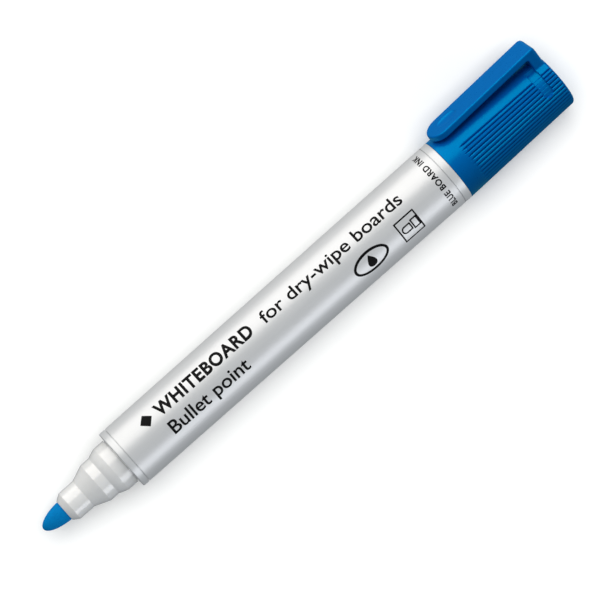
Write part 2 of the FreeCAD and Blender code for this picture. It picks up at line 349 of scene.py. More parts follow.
# %% [markdown]
# ### Film of the label
# The label is polyester film with a metal layer, deposited in a vacuum, under a satin varnish. The metal
# gives the bands of light and the varnish softens their edges. As on the barrel, a share of metal on a
# pale body is nearer to it than a full metal, because the varnish scatters some of the light.

# %% Metallised polyester film of the label
# Film is drawn out as it is made, which leaves very shallow ripples along it.
label_film, shader = new_finish("metallised_polyester_film", Metallic=0.36, IOR=1.6)
drawn = grains(label_film, 0.8 * MM, stretch=(12, 1, 1))
vary_colour(label_film, shader, drawn, "dbdcdd", "e0e1e2")
vary_roughness(label_film, shader, drawn, 0.36, 0.42)
emboss(label_film, shader, grains(label_film, 2.5 * MM, stretch=(5, 1, 1)), 0.002 * MM)
print(label_film.name)

# %% [markdown]
# ### Ink of the print
# The print is a thin film of cured ink on the varnish. It could be painted into the label's own material
# with an image, but pieces of their own keep every edge sharp from close by. Cured ink is rough and
# reflects little, so its specular level is low, which keeps the print black where it faces a light.

# %% Black ink of the print, cured on the film
print_ink, shader = new_finish("cured_black_ink", IOR=1.5, Specular_IOR_Level=0.1)
cover = grains(print_ink, 0.15 * MM)
vary_colour(print_ink, shader, cover, "030304", "0b0b0c")
vary_roughness(print_ink, shader, cover, 0.5, 0.6)
print(print_ink.name)

# %% [markdown]
# ### Plastic of the nib holder
# The holder is moulded in polypropylene without a pigment, so it is milky: light goes a little way in
# and softens the shadows. Its lands come out of a polished mould and mirror the lights in narrow bands.
# A low roughness alone would give the bands but harden the body, so the polished skin is a clear coat
# over the milky body.

# %% Natural polypropylene of the nib holder
# The clouds are the slight unevenness of unpigmented plastic, about 1.5 mm across.
natural_pp, shader = new_finish(
    "natural_polypropylene",
    IOR=1.49,
    Specular_IOR_Level=1.0,
    Coat_Weight=1.0,
    Coat_Roughness=0.14,
    Coat_IOR=1.6,
    Subsurface_Weight=0.15,
    Subsurface_Radius=(1.0, 0.95, 0.85),
    Subsurface_Scale=0.6 * MM,
)
clouds = grains(natural_pp, 1.5 * MM)
vary_colour(natural_pp, shader, clouds, "eaeae9", "f1f1f0")
vary_roughness(natural_pp, shader, clouds, 0.22, 0.28)
emboss(natural_pp, shader, grains(natural_pp, 0.4 * MM), 0.001 * MM)
print(natural_pp.name)

# %% [markdown]
# ### Plastic of the cap's liner
# The liner is polyethylene without a pigment. It is softer and waxier than polypropylene, so it scatters
# more light inside and has a duller surface. No coat is needed, because nothing on it is polished.

# %% Natural polyethylene of the cap's liner
liner_pe, shader = new_finish(
    "natural_polyethylene",
    IOR=1.51,
    Subsurface_Weight=0.3,
    Subsurface_Radius=(1.0, 0.97, 0.9),
    Subsurface_Scale=0.6 * MM,
)
wax = grains(liner_pe, 0.8 * MM)
vary_colour(liner_pe, shader, wax, "dedfdc", "e8e9e6")
vary_roughness(liner_pe, shader, wax, 0.4, 0.5)
emboss(liner_pe, shader, wax, 0.002 * MM)
print(liner_pe.name)

# %% [markdown]
# ### Plastic of the cap
# The cap is polypropylene with a strong blue pigment, from a spark-eroded mould. The grain of the mould
# breaks up the highlight, so the blue looks deep and even. Plain white reflections would turn its lit
# sides grey-blue. So the reflection is tinted blue-green, with the index raised from 1.49 to 1.6 to keep
# it as strong, and a tinted coat takes more of the white out. With an index of 1.0 the coat reflects
# nothing itself: it only filters what comes through it, most of all at low angles.

# %% Blue polypropylene of the cap, from a spark-eroded mould
# The grain is drawn 0.3 mm wide, several times coarser than it is, so that it shows.
cap_pp, shader = new_finish(
    "blue_polypropylene",
    IOR=1.6,
    Specular_IOR_Level=1.0,
    Specular_Tint=linear("00dcff"),
    Coat_Weight=0.8,
    Coat_Roughness=0.4,
    Coat_IOR=1.0,
    Coat_Tint=linear("00ffff"),
)
tone = grains(cap_pp, 1.5 * MM)
spark = grains(cap_pp, 0.3 * MM, detail=3.0)
vary_colour(cap_pp, shader, tone, "0055ac", "005cb6")
vary_roughness(cap_pp, shader, spark, 0.24, 0.34)
emboss(cap_pp, shader, spark, 0.013 * MM)
print(cap_pp.name)

# %% [markdown]
# ### Felt of the nib
# The nib is a rod of acrylic fibres, bonded with resin and soaked in blue ink. The fibres could be
# modelled as hairs, but they lie flat and only their streaks show, so noise drawn out along the nib is
# enough. Ink fills the gaps between the fibres, and the surface has almost no gloss.

# %% Bonded acrylic fibre of the nib, soaked in blue ink
# A fibre is about 0.02 mm thick. The streaks are drawn 0.12 mm wide, as coarse as they have to be to
# show.
nib_felt, shader = new_finish("inked_acrylic_felt", IOR=1.49, Specular_IOR_Level=0.05)
streaks = grains(nib_felt, 0.12 * MM, stretch=(10, 1, 1), detail=4.0)
vary_colour(nib_felt, shader, streaks, "005ea6", "0099e0")
vary_roughness(nib_felt, shader, streaks, 0.55, 0.8)
emboss(nib_felt, shader, streaks, 0.06 * MM)
print(nib_felt.name)

# %% [markdown]
# ### Fibre and wrap of the ink reservoir
# Inside the barrel is a bundle of polyester fibres, dull and soaked with ink, in a wrap of clear
# polypropylene film. They show only when the barrel is taken away, so plain finishes do: streaks along
# the bundle, and a few long creases that catch the light on the wrap.

# %% Polyester fibre of the reservoir
# The streaks are drawn 0.2 mm wide, about ten times as wide as a fibre, so that they show.
reservoir_fibre, shader = new_finish("inked_polyester_fibre", IOR=1.57)
bundle = grains(reservoir_fibre, 0.2 * MM, stretch=(20, 1, 1), detail=3.0)
vary_colour(reservoir_fibre, shader, bundle, "1d4f9b", "2f6cc0")
vary_roughness(reservoir_fibre, shader, bundle, 0.7, 0.9)
emboss(reservoir_fibre, shader, bundle, 0.03 * MM)
print(reservoir_fibre.name)

# %% Clear polypropylene film of the wrap
clear_wrap, shader = new_finish("clear_polypropylene_wrap", IOR=1.49, Transmission_Weight=0.85)
creases = grains(clear_wrap, 1.5 * MM, stretch=(8, 1, 1))
vary_colour(clear_wrap, shader, creases, "e8eef4", "f4f8fc")
vary_roughness(clear_wrap, shader, creases, 0.08, 0.16)
emboss(clear_wrap, shader, creases, 0.01 * MM)
print(clear_wrap.name)

# %% [markdown]
# ## Nib
# A bullet nib is ground from a rod of bonded fibre. It could be a squashed sphere on a cylinder. Half an
# ellipse is close to its outline, but a little too blunt, so here the ellipse's formula gets a lower
# power on its long side and is turned about the axis. Its surface is fuzzy, and a very small random push
# on each vertex keeps its edge from looking machined.

# %% Turn the nib
NIB_EXPOSED = HOLDER_MOUTH - NIB_TIP
BULLET_POWER = 1.8
NIB_STEPS = 40
NIB_COLUMNS = 96
NIB_FUZZ = 0.012 * MM
FUZZ_SEED = 7
NIB_TAIL_TAPER = 2 * MM

bullet = []
for step in range(NIB_STEPS + 1):
    # Steps crowd together at the tip, where the outline turns fastest.
    along = (step / NIB_STEPS) ** 2
    radius = NIB_R * math.sqrt(max(0.0, 1 - (1 - along) ** BULLET_POWER))
    bullet.append((NIB_TIP + NIB_EXPOSED * along, radius))
nib_outline = [*bullet, (NIB_TAIL - NIB_TAIL_TAPER, NIB_R), (NIB_TAIL, NIB_R / 3), (NIB_TAIL, 0)]
fuzz = np.random.default_rng(FUZZ_SEED)


def fuzzy_radius(index, x, r):
    """The push fades out towards the tip, where the vertices lie close together."""
    return r + fuzz.normal(0, NIB_FUZZ, NIB_COLUMNS) * min(1, r / NIB_R)


vertices, faces = turned(nib_outline, even_angles(NIB_COLUMNS), closed=False, radius_at=fuzzy_radius)
nib = new_piece("nib_bullet", vertices, faces, nib_felt, sharp_deg=60)
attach(nib, "marker_body")
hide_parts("nib")

# %% [markdown]
# ## Nib holder
# The holder steps down from the barrel to the nib: a land that the cap's ribs ride on, a land that the
# liner seals on, a cone and a nose. It could be stacked from cylinders and cones, but every joint would
# need a bevel then. One turned outline has all its rounds in it: each step has a small radius, which
# shows as a thin bright line around it, and the nose and the shoulder between the two lands bulge a
# little. In front of the barrel a groove is drawn, wider and deeper than the real joint, so that the
# joint reads as a dark line.

# %% Steps of the holder
STEP_ROUND = 0.07 * MM
EDGE_BREAK = 0.05 * MM
SEAT_FRONT = -3.0 * MM
SHOULDER_FRONT = -5.3 * MM
SEAL_FRONT = -7.7 * MM
CONE_FRONT = -11.4 * MM
NOSE_FRONT = -15.5 * MM
NOSE_R = NIB_R + 1.27 * MM
NIB_FIT = 0.02 * MM
MOUTH_R = NIB_R + 0.22 * MM
NOSE_BULGE = 0.05 * MM
SHOULDER_BULGE = 0.06 * MM
HOLDER_RECESS = 0.3 * MM
JOINT_GAP = 0.26 * MM
JOINT_DEPTH = 0.35 * MM
HOLDER_WALL = 1.3 * MM
HOLDER_INNER_R = SOCKET_R - HOLDER_WALL


def bulged(x_from, r_from, x_to, r_to, bulge, steps=6):
    """Points between two corners, pushed outwards by up to bulge half way."""
    points = []
    for step in range(1, steps):
        s = step / steps
        outwards = bulge * 4 * s * (1 - s)
        points.append((x_from + (x_to - x_from) * s, r_from + (r_to - r_from) * s + outwards))
    return points


print("nose", round(NOSE_R / MM, 2), "mm, seal land", round(SEAL_R / MM, 2), "mm in radius")

# %% Turn the holder
holder = lathe(
    "nib_holder_moulding",
    [
        (HOLDER_MOUTH, NIB_R + NIB_FIT),
        (HOLDER_MOUTH, MOUTH_R, EDGE_BREAK),
        *bulged(HOLDER_MOUTH, MOUTH_R, NOSE_FRONT, NOSE_R, NOSE_BULGE),
        (NOSE_FRONT, NOSE_R, STEP_ROUND),
        (CONE_FRONT, NOSE_R, STEP_ROUND),
        (SEAL_FRONT, SEAL_R, STEP_ROUND),
        (SHOULDER_FRONT, SEAL_R, STEP_ROUND),
        *bulged(SHOULDER_FRONT, SEAL_R, SEAT_FRONT, SEAT_R, SHOULDER_BULGE),
        (SEAT_FRONT, SEAT_R, STEP_ROUND),
        (-JOINT_GAP, SEAT_R, EDGE_BREAK),
        (-JOINT_GAP, SEAT_R - JOINT_DEPTH),
        (HOLDER_RECESS, SEAT_R - JOINT_DEPTH),
        (HOLDER_RECESS, SOCKET_R),
        (HOLDER_TAIL, SOCKET_R),
        (HOLDER_TAIL, HOLDER_INNER_R),
        (SEAL_FRONT + HOLDER_INNER_R - NIB_R, HOLDER_INNER_R),
        (SEAL_FRONT, NIB_R + NIB_FIT),
    ],
    natural_pp,
)
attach(holder, "marker_body")
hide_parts("nib_holder")

# %% [markdown]
# ## Barrel and label
# The barrel is a long tube, moulded with a little draft. The label film lies in a shallow recess between
# two bare rings, so only a hairline shows where the film ends. That hairline is drawn as a groove 0.2 mm
# wide and 0.35 mm deep, coarser than it is, so that it shows as a dark line. The barrel, with its bore
# and both grooves, is one turned outline. The label could be a colour on it, but it is a piece with a
# finish of its own, so it gets a ring.

# %% Turn the barrel
EDGE_ROUND = 0.25 * MM
TAIL_ROUND = 0.1 * MM
FILM = 0.12 * MM
HAIRLINE = 0.2 * MM
GROOVE = 0.35 * MM
FILM_EDGE = 0.03 * MM
BORE_EDGE = 0.08 * MM
SOCKET_STEP = 0.25 * MM
BARREL_BORE_R = SOCKET_R - SOCKET_STEP
SOCKET_DEPTH = HOLDER_TAIL


def barrel_r(x):
    """Radius of the barrel at x, which grows evenly from its front to its tail."""
    return BARREL_FRONT_R + (BARREL_TAIL_R - BARREL_FRONT_R) * x / BARREL_TAIL


barrel = lathe(
    "barrel_tube",
    [
        (0, SOCKET_R, BORE_EDGE),
        (0, BARREL_FRONT_R, EDGE_ROUND),
        (LABEL_FRONT, barrel_r(LABEL_FRONT), FILM_EDGE),
        (LABEL_FRONT, barrel_r(LABEL_FRONT) - GROOVE),
        (LABEL_FRONT + HAIRLINE, barrel_r(LABEL_FRONT) - GROOVE),
        (LABEL_FRONT + HAIRLINE, barrel_r(LABEL_FRONT) - FILM),
        (LABEL_TAIL - HAIRLINE, barrel_r(LABEL_TAIL) - FILM),
        (LABEL_TAIL - HAIRLINE, barrel_r(LABEL_TAIL) - GROOVE),
        (LABEL_TAIL, barrel_r(LABEL_TAIL) - GROOVE),
        (LABEL_TAIL, barrel_r(LABEL_TAIL), FILM_EDGE),
        (BARREL_TAIL, BARREL_TAIL_R, TAIL_ROUND),
        (BARREL_TAIL, SOCKET_R, BORE_EDGE),
        (BARREL_TAIL - SOCKET_DEPTH, SOCKET_R),
        (BARREL_TAIL - SOCKET_DEPTH, BARREL_BORE_R),
        (SOCKET_DEPTH, BARREL_BORE_R),
        (SOCKET_DEPTH, SOCKET_R),
    ],
    silver_pp,
)
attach(barrel, "marker_body")
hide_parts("barrel")

# %% [markdown]
# ### Overlap of the label
# The film goes round a little more than once, and the overlap runs along the side away from the print.
# It could be a second strip on top, but a strip's edges would float. Here the ring itself stands a
# little higher there, and two extra columns of vertices keep the step at each edge short.

# %% Wrap the label, with its overlap
OVERLAP_FROM_DEG = 211.9
OVERLAP_TO_DEG = 238.0
OVERLAP_RISE = 0.05 * MM
COLUMN_DEG = 1.5
FILM_BED = 0.01 * MM
FILM_ROUND = 0.04 * MM
step_columns = [OVERLAP_FROM_DEG - 0.1, OVERLAP_TO_DEG + 0.1]
label_angles = np.radians(np.sort(np.append(np.arange(0, 360, COLUMN_DEG), step_columns)))
film_from = LABEL_FRONT + HAIRLINE
film_to = LABEL_TAIL - HAIRLINE


def label_radius(index, x, r):
    """The outer rings stand higher along the overlap."""
    outer = r > barrel_r(x) - FILM / 2
    degrees = np.degrees(label_angles)
    lapped = (degrees >= OVERLAP_FROM_DEG) & (degrees <= OVERLAP_TO_DEG)
    return r + np.where(lapped, OVERLAP_RISE, 0.0) * outer


label_outline = rounded(
    [
        (film_from, barrel_r(film_from) - FILM + FILM_BED),
        (film_from, barrel_r(film_from), FILM_ROUND),
        (film_to, barrel_r(film_to), FILM_ROUND),
        (film_to, barrel_r(film_to) - FILM + FILM_BED),
    ],
    arc_steps=3,
)
vertices, faces = turned(label_outline, label_angles, closed=True, radius_at=label_radius)
label = new_piece("label_wrap", vertices, faces, label_film)
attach(label, "marker_body")
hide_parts("barrel_label")

# %% [markdown]
# ## Print on the label
# Real print is a few micrometres of ink. It could be pressed onto the barrel with a shrinkwrap modifier,
# but that snaps to the barrel's facets. Instead letters and signs are drawn flat, as thin solids, cut
# into narrow strips so that they can bend, and then wrapped around the barrel by a formula: the flat
# drawing's x runs along the marker and its y runs around it. The words are plain ones that say what the
# marker is. The signs are a diamond, a drop in a ring, and a nib and a collar in a square.

# %% Wrap a flat drawing around the barrel
STRIP = 0.35 * MM


def wrapped(name, flat, x, angle_deg, turn_deg=0.0):
    """Wraps a flat mesh around the barrel. Its origin goes to x, angle_deg from straight up towards +Y."""
    shape = bmesh.new()
    shape.from_mesh(flat)
    bmesh.ops.transform(shape, matrix=Matrix.Rotation(math.radians(turn_deg), 4, "Z"), verts=shape.verts)
    low = min(v.co.y for v in shape.verts)
    high = max(v.co.y for v in shape.verts)
    for k in range(math.ceil(low / STRIP), math.floor(high / STRIP) + 1):
        whole = [*shape.verts, *shape.edges, *shape.faces]
        bmesh.ops.bisect_plane(shape, geom=whole, plane_co=(0, k * STRIP, 0), plane_no=(0, 1, 0))
    for v in shape.verts:
        along = x + v.co.x
        level = barrel_r(along) + v.co.z
        angle = math.radians(angle_deg) + v.co.y / barrel_r(x)
        v.co = (along, level * math.sin(angle), level * math.cos(angle))
    mesh = bpy.data.meshes.new(name)
    shape.to_mesh(mesh)
    shape.free()
    piece = piece_from(name, mesh, print_ink)
    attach(piece, "marker_body")
    return piece


# %% Make a flat plate from loops
INK = 0.012 * MM


def plate(loops):
    """A flat plate, as thick as the ink, of one outer loop of (x, y) points and any loops cut out of it."""
    shape = bmesh.new()
    for loop in loops:
        ring = [shape.verts.new((px, py, 0)) for px, py in loop]
        for a, b in zip(ring, [*ring[1:], ring[0]]):
            shape.edges.new((a, b))
    bmesh.ops.triangle_fill(shape, use_beauty=True, use_dissolve=False, edges=shape.edges[:])
    grown = bmesh.ops.extrude_face_region(shape, geom=shape.faces[:])
    raised = [v for v in grown["geom"] if isinstance(v, bmesh.types.BMVert)]
    bmesh.ops.translate(shape, vec=(0, 0, INK), verts=raised)
    mesh = bpy.data.meshes.new("flat")
    shape.to_mesh(mesh)
    shape.free()
    return mesh


# %% [markdown]
# ### Words
# Blender's own plain font is turned into a mesh and stretched to the length and height of the printed
# line. A small outward offset of the outlines makes the strokes bolder.

# %% Turn words into a flat solid
def letters(words, length, height, boldness=0.0, spacing=1.0):
    """The words as a thin flat solid, length by height, with its lower left corner at the origin."""
    curve = bpy.data.curves.new("words", "FONT")
    curve.body = words
    curve.offset = boldness
    curve.space_character = spacing
    curve.extrude = 0.01
    curve.resolution_u = 6
    text_object = bpy.data.objects.new("words", curve)
    mesh = bpy.data.meshes.new_from_object(text_object)
    bpy.data.objects.remove(text_object)
    points = np.array([v.co for v in mesh.vertices])
    low, high = points.min(0), points.max(0)
    size = high - low
    shrink = Matrix.Diagonal((length / size[0], height / size[1], INK / size[2], 1))
    mesh.transform(shrink @ Matrix.Translation(-Vector(low)))
    print(words, "letters are", round(length / size[0] / (height / size[1]), 2), "times as wide as drawn")
    return mesh


# %% Print the words
# Where each line's lower edge lies around the barrel. Letters that reach below the line lower it.
NAME_DEG = 9.7
KIND_DEG = 2.7
NIB_LINE_DEG = -37.0
RING_DEG = -58

name_line = letters("WHITEBOARD", length=28.4 * MM, height=3.4 * MM, boldness=0.035, spacing=1.1)
wrapped("print_name", name_line, x=12.8 * MM, angle_deg=NAME_DEG)
kind_line = letters("for dry-wipe boards", length=41.6 * MM, height=4.2 * MM, boldness=0.012)
wrapped("print_kind", kind_line, x=44.3 * MM, angle_deg=KIND_DEG)
nib_line = letters("Bullet point", length=22.8 * MM, height=4.4 * MM, boldness=0.012)
wrapped("print_nib", nib_line, x=12.9 * MM, angle_deg=NIB_LINE_DEG)
ring_line = letters("BLUE BOARD INK", length=17.0 * MM, height=1.6 * MM, boldness=0.032, spacing=1.12)
wrapped("print_ring", ring_line, x=95.5 * MM, angle_deg=RING_DEG, turn_deg=90)

# %% [markdown]
# ### Signs
# Each sign is one or two closed loops: an outer one, and an inner one that is cut out of it to leave a
# line. A formula draws each loop, so the curves are as smooth as the number of points asked for.

# %% Loops for the signs
def ellipse(length, height, count=64):
    """An ellipse around the origin."""
    turns = [2 * math.pi * i / count for i in range(count)]
    return [(length / 2 * math.cos(a), height / 2 * math.sin(a)) for a in turns]


def rectangle(length, height):
    """A rectangle around the origin."""
    half_length = length / 2
    half_height = height / 2
    return [
        (-half_length, -half_height),
        (half_length, -half_height),
        (half_length, half_height),
        (-half_length, half_height),
    ]


def drop(size, count=40):
    """A drop of ink, pointed at the top."""
    turns = [2 * math.pi * i / count for i in range(count)]
    return [(size * 0.5 * math.sin(a) * math.sin(a / 2) ** 1.3, size * 0.5 * math.cos(a)) for a in turns]


def bullet_sign(length, height, count=16):
    """The outline of a nib, round at the left."""
    turns = [math.pi / 2 + math.pi * i / count for i in range(count + 1)]
    nose = [(height / 2 * math.cos(a) - (length - height) / 2, height / 2 * math.sin(a)) for a in turns]
    return [*nose, (length / 2, -height / 2), (length / 2, height / 2)]


def outline_of(loop, length, height, line):
    """A loop and the same loop smaller by the line's width on every side."""
    return [loop(length, height), loop(length - 2 * line, height - 2 * line)]


# %% Print the signs
SIGN_DEG = -28.0
LINE = 0.36 * MM
OVAL_LINE = 1.8 * LINE
OVAL_X = 71.8 * MM
SQUARE_X = 83.4 * MM
DIAMOND_DEG = 22.1

# An ellipse of only four points is a diamond.
diamond = ellipse(length=3.4 * MM, height=3.4 * MM, count=4)
wrapped("print_diamond", plate([diamond]), x=9.9 * MM, angle_deg=DIAMOND_DEG)
oval = outline_of(ellipse, length=9.8 * MM, height=5.3 * MM, line=OVAL_LINE)
wrapped("print_oval", plate(oval), OVAL_X, SIGN_DEG)
wrapped("print_drop", plate([drop(size=3.2 * MM)]), OVAL_X, SIGN_DEG)
square = outline_of(rectangle, length=5.8 * MM, height=5.8 * MM, line=LINE)
wrapped("print_square", plate(square), SQUARE_X, SIGN_DEG)
nib_sign = outline_of(bullet_sign, length=2.7 * MM, height=2.0 * MM, line=LINE)
wrapped("print_nib_sign", plate(nib_sign), SQUARE_X - 0.9 * MM, SIGN_DEG)
collar_sign = outline_of(rectangle, length=1.9 * MM, height=2.7 * MM, line=LINE)
wrapped("print_collar_sign", plate(collar_sign), SQUARE_X + 1.6 * MM, SIGN_DEG)

# %% [markdown]
# ## Tail plug and spigot
# The plug closes the barrel's tail. The spigot that stands out of it repeats the steps of the nib
# holder, so the same cap grips both ends. It shows only when the cap is pulled off. Like the holder it
# is one turned outline, with the small pit in its end where the mould let the plastic in.

# %% Turn the plug
PLUG_WALL = 1.0 * MM
PUSHER_R = 5.98 * MM
PLUG_INNER_R = SOCKET_R - 2 * PLUG_WALL
SPIGOT_SHOULDER = BARREL_TAIL + 3.0 * MM
SPIGOT_SEAL = SPIGOT_SHOULDER + 1.15 * MM
SPIGOT_END_ROUND = 1.0 * MM
PIT_R = 1.0 * MM
PIT_ROUND = 0.1 * MM
PIT_FLOOR_R = 0.9 * MM
PIT_DEPTH = 0.25 * MM
plug = lathe(
    "tail_plug_moulding",
    [
        (PLUG_FRONT, PUSHER_R - PLUG_WALL),
        (PLUG_FRONT, PUSHER_R),
        (BARREL_TAIL - SOCKET_DEPTH, PUSHER_R),
        (BARREL_TAIL - SOCKET_DEPTH, SOCKET_R),
        (BARREL_TAIL - HOLDER_RECESS, SOCKET_R),
        (BARREL_TAIL - HOLDER_RECESS, SEAT_R),
        (SPIGOT_SHOULDER, SEAT_R, STEP_ROUND),
        (SPIGOT_SEAL, SEAL_R, STEP_ROUND),
        (PLUG_TAIL, SEAL_R, SPIGOT_END_ROUND),
        (PLUG_TAIL, PIT_R, PIT_ROUND),
        (PLUG_TAIL - PIT_DEPTH, PIT_FLOOR_R),
        (PLUG_TAIL - PIT_DEPTH, 0),
        (PLUG_TAIL - PLUG_WALL, 0),
        (PLUG_TAIL - PLUG_WALL, SEAL_R - PLUG_WALL),
        (SPIGOT_SHOULDER, SEAL_R - PLUG_WALL),
        (BARREL_TAIL - PLUG_WALL, PLUG_INNER_R),
        (BARREL_TAIL - SOCKET_DEPTH, PLUG_INNER_R),
        (BARREL_TAIL - SOCKET_DEPTH, PUSHER_R - PLUG_WALL),
    ],
    silver_pp,
)
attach(plug, "marker_body")
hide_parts("end_plug")

# %% [markdown]
# ## Cap liner
# The liner is a thin soft cup inside the cap. A bead inside its mouth does the sealing, and the nib ends
# up in the still air behind it. The cup could be a cylinder with a solidify modifier, but its wall isn't
# even: the floor is thicker and the bead stands out. So it is a turned outline too.

# %% Turn the liner
liner_low, liner_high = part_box("cap_liner")
LINER_R = liner_high.z
LINER_WALL = 0.75 * MM
LINER_FLOOR = 0.9 * MM
LINER_BORE_R = LINER_R - LINER_WALL
LINER_CORNER = 0.6 * MM
LINER_INNER_CORNER = 0.4 * MM
LIP_ROUND = 0.1 * MM
LIP_LEAD_IN = 0.4 * MM
LIP_FLARE = 0.25 * MM
BEAD_X = liner_low.x + 1.7 * MM
BEAD_HALF = 0.5 * MM
BEAD_ROUND = 0.2 * MM
BEAD = 0.03 * MM
liner = lathe(
    "liner_cup",
    [
        (liner_low.x, LINER_BORE_R + LIP_FLARE, LIP_ROUND),
        (liner_low.x, LINER_R, LIP_ROUND),
        (liner_high.x, LINER_R, LINER_CORNER),
        (liner_high.x, 0),
        (liner_high.x - LINER_FLOOR, 0),
        (liner_high.x - LINER_FLOOR, LINER_BORE_R, LINER_INNER_CORNER),
        (BEAD_X + BEAD_HALF, LINER_BORE_R),
        (BEAD_X, LINER_BORE_R - BEAD, BEAD_ROUND),
        (BEAD_X - BEAD_HALF, LINER_BORE_R),
        (liner_low.x + LIP_LEAD_IN, LINER_BORE_R),
    ],
    liner_pe,
)
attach(liner, "cap_seal")
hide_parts("cap_liner")

# %% [markdown]
# ## Cap shell
# The cap could be a cylinder with cutters taken out of it one by one, but booleans on so many narrow
# grooves leave ragged triangles. Instead the whole cap is one grid: rows along its wall, from the middle
# of its inside, out over the mouth and along the outside to the middle of its end, and columns around
# it. A formula gives how far each point lies below the smooth cone: the V-shaped flutes with their
# narrow roots and pointed starts, and the recessed band in front of the clip's root, which stops on
# either side of the clip. Columns crowd together at the flutes, and rows at the flutes' starts and
# across the band. The cap is built with its mouth at x = 0 and the clip straight up, and then turned to
# the clip's side.

# %% Place of the cap, from the clip's hinge
hinge = Vector(joints["clip_flex"]["pos_m"])
CLIP_RISE = math.atan2(hinge.z, hinge.y)
CAP_PLACE = Matrix.Translation((CAP_MOUTH, 0, 0)) @ Matrix.Rotation(CLIP_RISE - math.pi / 2, 4, "X")
print("clip is", round(math.degrees(CLIP_RISE), 1), "degrees above the horizontal")

# %% The smooth cone and what is cut into it
CAP_DRAFT_DEG = 1.2
CAP_DRAFT = math.tan(math.radians(CAP_DRAFT_DEG))
MOUTH_ROUND = 0.1 * MM
RIM_ROUND = 0.9 * MM
FLUTE_PITCH_DEG = 7.3
FLUTE_COUNT = 38
FLUTE_FIRST_DEG = 180 - FLUTE_PITCH_DEG * (FLUTE_COUNT - 1) / 2
FLUTE_HALF_DEG = 2.4
FLUTE_DEPTH = 0.28 * MM
FLUTE_ROOT_HALF_DEG = 0.8
FLUTE_ROOT = 0.32 * MM
FLUTE_START = 4.2 * MM
FLUTE_RUN_IN = 1.2 * MM
BAND_WIDTH = 2.5 * MM
BAND_DEPTH = 0.55 * MM
BAND_HALF_DEG = 84.0
BAND_WALL = 0.12 * MM
BAND_FROM_DEG = 22.0
BAND_FADE_DEG = 2.0
ROOT_LENGTH = 2.8 * MM
ROOT_SETBACK = 0.25 * MM
ROOT_WALL = CAP_LENGTH - ROOT_SETBACK - ROOT_LENGTH


def cone_r(x):
    """Radius of the cap's smooth outside at x from its mouth."""
    return BARREL_TAIL_R - x * CAP_DRAFT


def flute_cut(x, degrees):
    """Depth of the flutes at x: V-shaped with a narrow root, and pointed where the cutter starts."""
    around = (degrees - FLUTE_FIRST_DEG) % 360
    index = np.clip(np.round(around / FLUTE_PITCH_DEG), 0, FLUTE_COUNT - 1)
    off = np.abs(around - index * FLUTE_PITCH_DEG)
    off = np.minimum(off, 360 - off)
    shape = np.clip(1 - off / FLUTE_HALF_DEG, 0, 1)
    root = np.clip(1 - off / FLUTE_ROOT_HALF_DEG, 0, 1)
    run_in = min(1.0, max(0.0, (x - FLUTE_START) / FLUTE_RUN_IN))
    return FLUTE_DEPTH * np.clip(shape + run_in - 1, 0, 1) + FLUTE_ROOT * np.clip(root + run_in - 1, 0, 1)


def band_cut(x, degrees):
    """Depth of the recessed band, which has half-round ends and stops on either side of the clip."""
    middle = ROOT_WALL - BAND_WIDTH / 2
    radius = cone_r(middle)
    from_clip = np.abs((degrees + 180) % 360 - 180)
    sideways = np.radians(from_clip) * radius
    straight = math.radians(BAND_HALF_DEG) * radius - BAND_WIDTH / 2
    past_straight = np.maximum(sideways - straight, 0)
    inside = BAND_WIDTH / 2 - np.sqrt((x - middle) ** 2 + past_straight**2)
    share = np.clip(inside / BAND_WALL + 0.5, 0, 1)
    beside_clip = np.clip((from_clip - BAND_FROM_DEG) / BAND_FADE_DEG, 0, 1)
    return BAND_DEPTH * share * share * (3 - 2 * share) * beside_clip


print("first flute is", FLUTE_FIRST_DEG, "degrees from the clip")

# %% Columns around the cap
# Columns stand on the root, the sides and the edges of each flute, and just outside it, where the cone
# is smooth.
half_flute = (0.8, 1.6, 2.4, 2.6, 3.0)
flute_offsets = [*(-off for off in half_flute), 0, *half_flute]
flute_columns = [
    FLUTE_FIRST_DEG + FLUTE_PITCH_DEG * i + off for i in range(FLUTE_COUNT) for off in flute_offsets
]
PLAIN_EDGE_DEG = FLUTE_FIRST_DEG - 4.0
PLAIN_COLUMNS = 52
plain_columns = np.linspace(-PLAIN_EDGE_DEG, PLAIN_EDGE_DEG, PLAIN_COLUMNS)
cap_degrees = np.sort(np.array([*flute_columns, *plain_columns]) % 360)
cap_angles = np.radians(cap_degrees)
print(len(cap_degrees), "columns")

# %% Rows from the inside, over the mouth and along the outside
# The ribs of the inside start with their full height at once, so two rows lie close together where they
# start.
CAP_WALL = 1.1 * MM
CEILING = CAP_LENGTH - 1.4 * MM
CEILING_ROUND = 0.3 * MM
BOSS_END = liner_high.x - CAP_MOUTH + 0.1 * MM
BOSS_R = 2.0 * MM
RIB_START = 0.45 * MM
RIB_STEP = 0.05 * MM
MOUTH_CHAMFER = 0.2 * MM
END_RING_R = 4.0 * MM
GATE_R = 1.35 * MM
GATE_FLOOR_R = 1.25 * MM
GATE_DEPTH = 0.3 * MM
MOUTH_INNER_R = cone_r(0) - CAP_WALL

